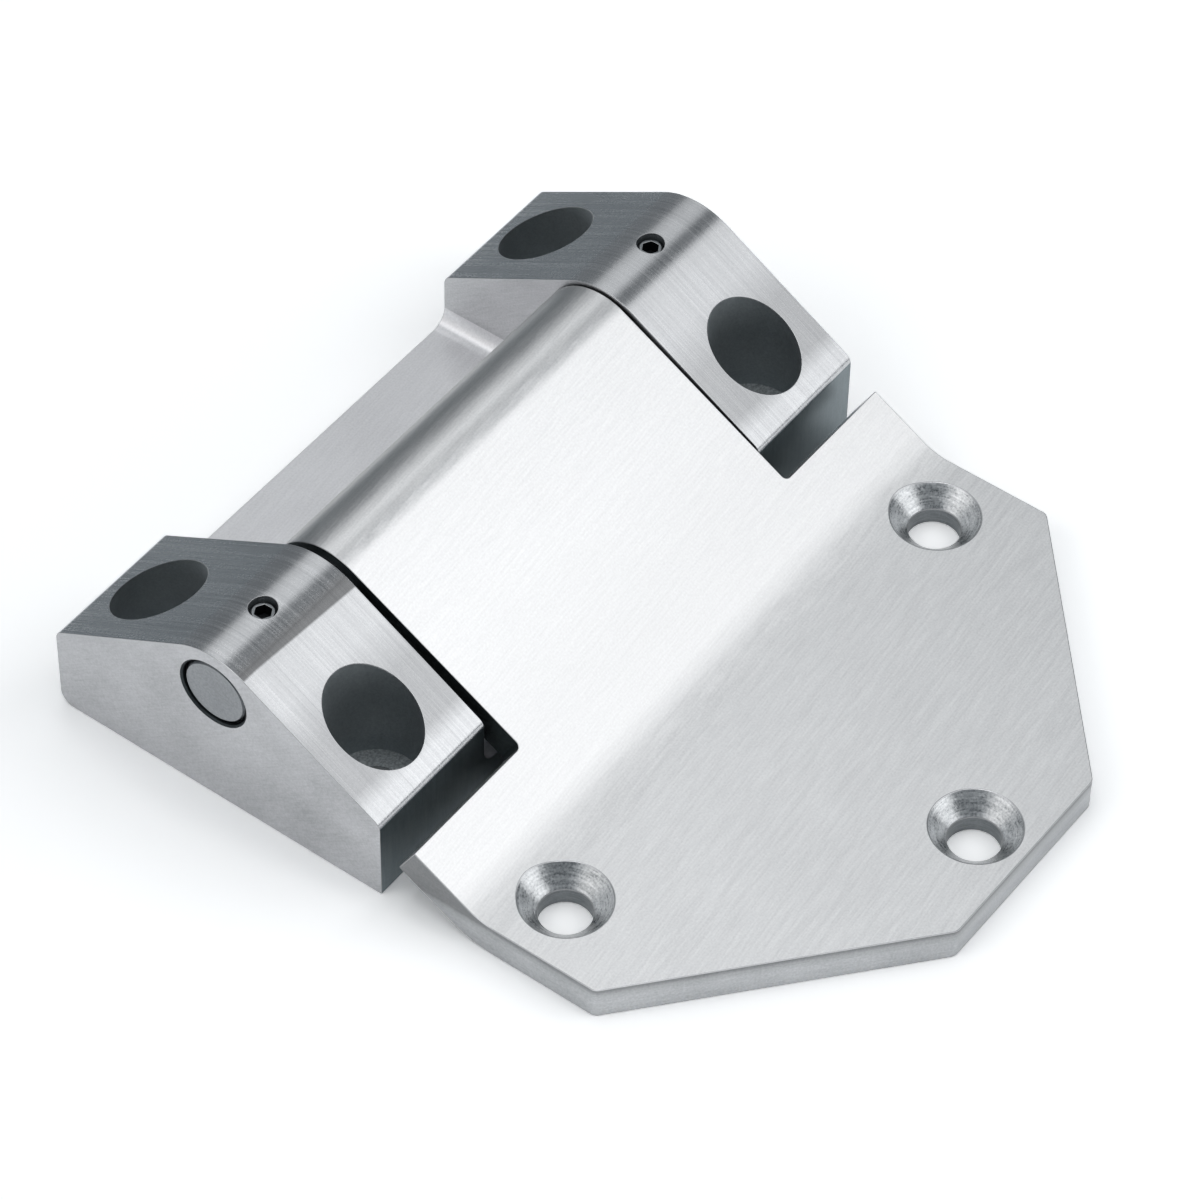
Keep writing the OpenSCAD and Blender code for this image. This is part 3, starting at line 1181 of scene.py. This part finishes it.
@dataclass
class HingePin(Piece):
    """The pin, flush with the blocks' outer faces but for a small recess. Sizes in millimetres."""

    node: str = "hinge_pin"
    body: str = "fixed_side"
    slot: str = "pin_steel"
    name: str = "turned_pin"
    length: float = 119.4
    radius: float = 6.0
    chamfer: float = 0.7
    seat_radius: float = 2.22
    seat_height: float = 27.0
    seats: float = 48.0
    edge_break: float = 0.08
    faces: list[Face] = field(default_factory=lambda: [Face.PIN_SIDE, Face.PIN_END])

    def shape(self) -> Solid:
        """Turns the pin, chamfers its ends and mills the two seats of the set screws.

        Returns:
            The pin.
        """
        foot = (-self.length / 2, 0, self.pin_height)
        piece = rod("pin", foot, self.radius, self.length, along="X", sides=128)
        round_edges(piece, lambda a, b: same(a.x, b.x), self.chamfer, 1)
        for x in (-self.seats, self.seats):
            seat = (x, 0, self.seat_height)
            cut(piece, rod("seat", seat, self.seat_radius, self.radius + 2, sides=64))
        return piece

    def face_of(self, centre: Vector, normal: Vector) -> Face:
        """The two flat ends are satin, and the rest is turned steel in painted shade."""
        return Face.PIN_END if abs(normal.x) > 0.9 else Face.PIN_SIDE


@dataclass
class SetScrew(Piece):
    """A headless set screw with a hexagon socket, in a block's ridge. Sizes in millimetres."""

    node: str = "right_set_screw"
    body: str = "fixed_side"
    slot: str = "screw_steel"
    name: str = "right_socket_screw"
    at: float = 48.0
    radius: float = 2.2
    length: float = 4.0
    foot: float = 27.0
    chamfer: float = 0.5
    socket_flats: float = 2.5
    socket_depth: float = 2.0
    edge_break: float = 0.06
    faces: list[Face] = field(default_factory=lambda: [Face.SCREW, Face.SOCKET, Face.EDGE])

    def shape(self) -> Solid:
        """Turns the screw, chamfers its ends and sinks the socket.

        Returns:
            The screw.
        """
        piece = rod("screw", (self.at, 0, self.foot), self.radius, self.length, sides=64)
        top = self.foot + self.length

        def rim(a: Vector, b: Vector) -> bool:
            return same(a.z, b.z) and (same(a.z, top) or same(a.z, self.foot))

        round_edges(piece, rim, self.chamfer, 1)
        corner = self.socket_flats / 2 / math.cos(math.radians(30))
        floor = (self.at, 0, top - self.socket_depth)
        cut(piece, rod("socket", floor, corner, self.socket_depth + 1, sides=6))
        return piece

    def face_of(self, centre: Vector, normal: Vector) -> Face:
        """The socket's walls and floor get near-black painted shade, and the rest is dark steel."""
        inside = math.hypot(centre.x - self.at, centre.y) < self.socket_flats / 2 + SLACK
        return Face.SOCKET if inside and centre.z < self.foot + self.length - NEAR else Face.SCREW


@dataclass(frozen=True)
class Softbox:
    """A soft light: the way to it from the hinge, its width and height, and its face's brightness."""

    name: str
    towards: Triple
    size: Point
    radiance: float


@dataclass
class Studio:
    """The pale floor, the soft lights and the camera. Lengths in metres."""

    floor_size: float = 6.0
    floor_drop: float = 0.00002
    floor_lit: Triple = (0.86, 0.86, 0.86)
    floor_seen: Triple = (1.28, 1.28, 1.28)
    card_size: float = 1.6
    card_place: Triple = (-0.45, -0.90, 0.0005)
    card_colour: Triple = (0.28, 0.325, 0.35)
    lens: float = 159.414
    sensor: float = 36.0
    stand: Triple = (0.43845, 0.34142, 0.61660)
    right: Triple = (-0.597903, 0.801410, 0.015920)
    up: Triple = (-0.593010, -0.455612, 0.663896)
    back: Triple = (0.539306, 0.387504, 0.747656)
    aim: Triple = (0.0, 0.03, 0.012)
    bright_side: Triple = (0.75, -0.45, 0.48)
    fade: Point = (0.72, 0.97)
    dim: float = 0.25
    dim_colour: Triple = (0.88, 0.98, 1.06)
    bright: float = 1.0
    bright_colour: Triple = (1.0, 1.0, 1.0)
    light_distance: float = 1.0
    softboxes: tuple[Softbox, ...] = (
        Softbox("slope_softbox", (-0.43, 0.68, 0.62), (0.76, 1.00), 1.38),
        Softbox("flange_softbox", (-0.35, -0.41, 0.83), (0.74, 0.60), 0.72),
        Softbox("floor_softbox", (0.08, 0.06, 1.00), (0.60, 0.60), 2.2),
        Softbox("fillet_softbox", (0.50, -0.38, 0.78), (0.40, 0.40), 1.15),
    )

    def build(self) -> None:
        """Sets the floor, the dark card, the world, the lights and the camera."""
        self.floor()
        self.flag()
        self.world()
        for softbox in self.softboxes:
            self.light(softbox)
        self.camera()
        log.info("studio: floor, world, lights and camera")

    def floor(self) -> None:
        """A plain white floor just under the hinge. It is a little paler to the eye than to the light."""
        board = Board(bpy.data.materials.new("floor_white"))
        rays = board.add("LightPath", "Rays")
        seen = board.combine("Seen", "ADD", rays.outputs["Is Camera Ray"], rays.outputs["Is Glossy Ray"])
        seen = board.combine("Seen", "ADD", seen, rays.outputs["Is Transmission Ray"], clamp=True)
        paint = board.mix("Pale floor", seen, self.floor_lit, self.floor_seen)
        board.finish(board.add("BsdfDiffuse", "Paint", Color=paint).outputs["BSDF"])
        clear()
        place = (0.0, 0.0, -self.floor_drop)
        bpy.ops.mesh.primitive_plane_add(size=self.floor_size, location=place)
        floor = settle(bpy.context.active_object, "floor")
        floor.data.materials.append(board.owner)

    def flag(self) -> None:
        """A dark card beyond the hinge. Only polished faces show it, so the rear slopes go dark."""
        board = Board(bpy.data.materials.new("card_black"))
        paint = board.add("BsdfDiffuse", "Paint", Color=(*self.card_colour, 1.0))
        board.finish(paint.outputs["BSDF"])
        clear()
        bpy.ops.mesh.primitive_plane_add(size=self.card_size, location=self.card_place)
        card = settle(bpy.context.active_object, "dark_card")
        card.data.materials.append(board.owner)
        card.visible_camera = False
        card.visible_diffuse = False
        card.visible_shadow = False

    def world(self) -> None:
        """Soft air that is bright behind the camera and dim on the far side."""
        world = bpy.data.worlds.new("studio_air")
        bpy.context.scene.world = world
        board = Board(world)
        facing = board.add("VectorMath", "Facing the bright side")
        facing.operation = "DOT_PRODUCT"
        board.feed(facing.inputs[0], board.places.outputs["Generated"])
        board.feed(facing.inputs[1], Vector(self.bright_side).normalized())
        fade = board.add(
            "MapRange", "Fade", Value=facing.outputs["Value"],
            From_Min=self.fade[0], From_Max=self.fade[1], To_Min=self.dim, To_Max=self.bright,
        )
        fade.interpolation_type = "SMOOTHSTEP"
        share = fade.outputs["Result"]
        tint = board.mix("Tint", share, self.dim_colour, self.bright_colour)
        air = board.add("Background", "Air", Color=tint, Strength=share)
        board.finish(air.outputs["Background"], "OutputWorld")

    def light(self, softbox: Softbox) -> None:
        """Adds a soft light that faces the hinge. A radiance of 1 makes its face white.

        Args:
            softbox: what the light is like.
        """
        clear()
        way = Vector(softbox.towards).normalized()
        across = Vector((1.0, 0.0, 0.0))
        across = (across - way * across.dot(way)).normalized()
        place = Vector(self.aim) + way * self.light_distance
        bpy.ops.object.light_add(type="AREA", location=place)
        box = bpy.context.active_object
        box.name = softbox.name
        box.rotation_euler = Matrix((across, way.cross(across), way)).transposed().to_euler()
        box.data.shape = "RECTANGLE"
        width, height = softbox.size
        box.data.size, box.data.size_y = width, height
        box.data.energy = math.pi * width * height * softbox.radiance

    def camera(self) -> None:
        """Sets the camera where the photograph was taken from."""
        clear()
        bpy.ops.object.camera_add()
        camera = bpy.context.active_object
        camera.name = "camera"
        axes = Matrix((self.right, self.up, self.back)).transposed().to_4x4()
        camera.matrix_world = Matrix.Translation(self.stand) @ axes
        camera.data.sensor_fit = "HORIZONTAL"
        camera.data.sensor_width = self.sensor
        camera.data.lens = self.lens
        camera.data.clip_start = 0.01
        camera.data.clip_end = 20.0
        bpy.context.scene.camera = camera


def main() -> None:
    """Builds the hinge, piece by piece, and the studio round it."""
    logging.basicConfig(level=logging.INFO, format="%(name)s: %(message)s")
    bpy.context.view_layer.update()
    steels = {face: face.value.build() for face in Face}
    pieces: list[Piece] = [
        BaseCasting(),
        LeafCasting(),
        HingePin(),
        SetScrew(),
        SetScrew(node="left_set_screw", name="left_socket_screw", at=-48.0),
    ]
    for piece in pieces:
        piece.make(steels)
    Studio().build()
    bpy.context.scene.view_settings.view_transform = "Standard"
    bpy.context.view_layer.update()


if __name__ == "__main__":
    main()
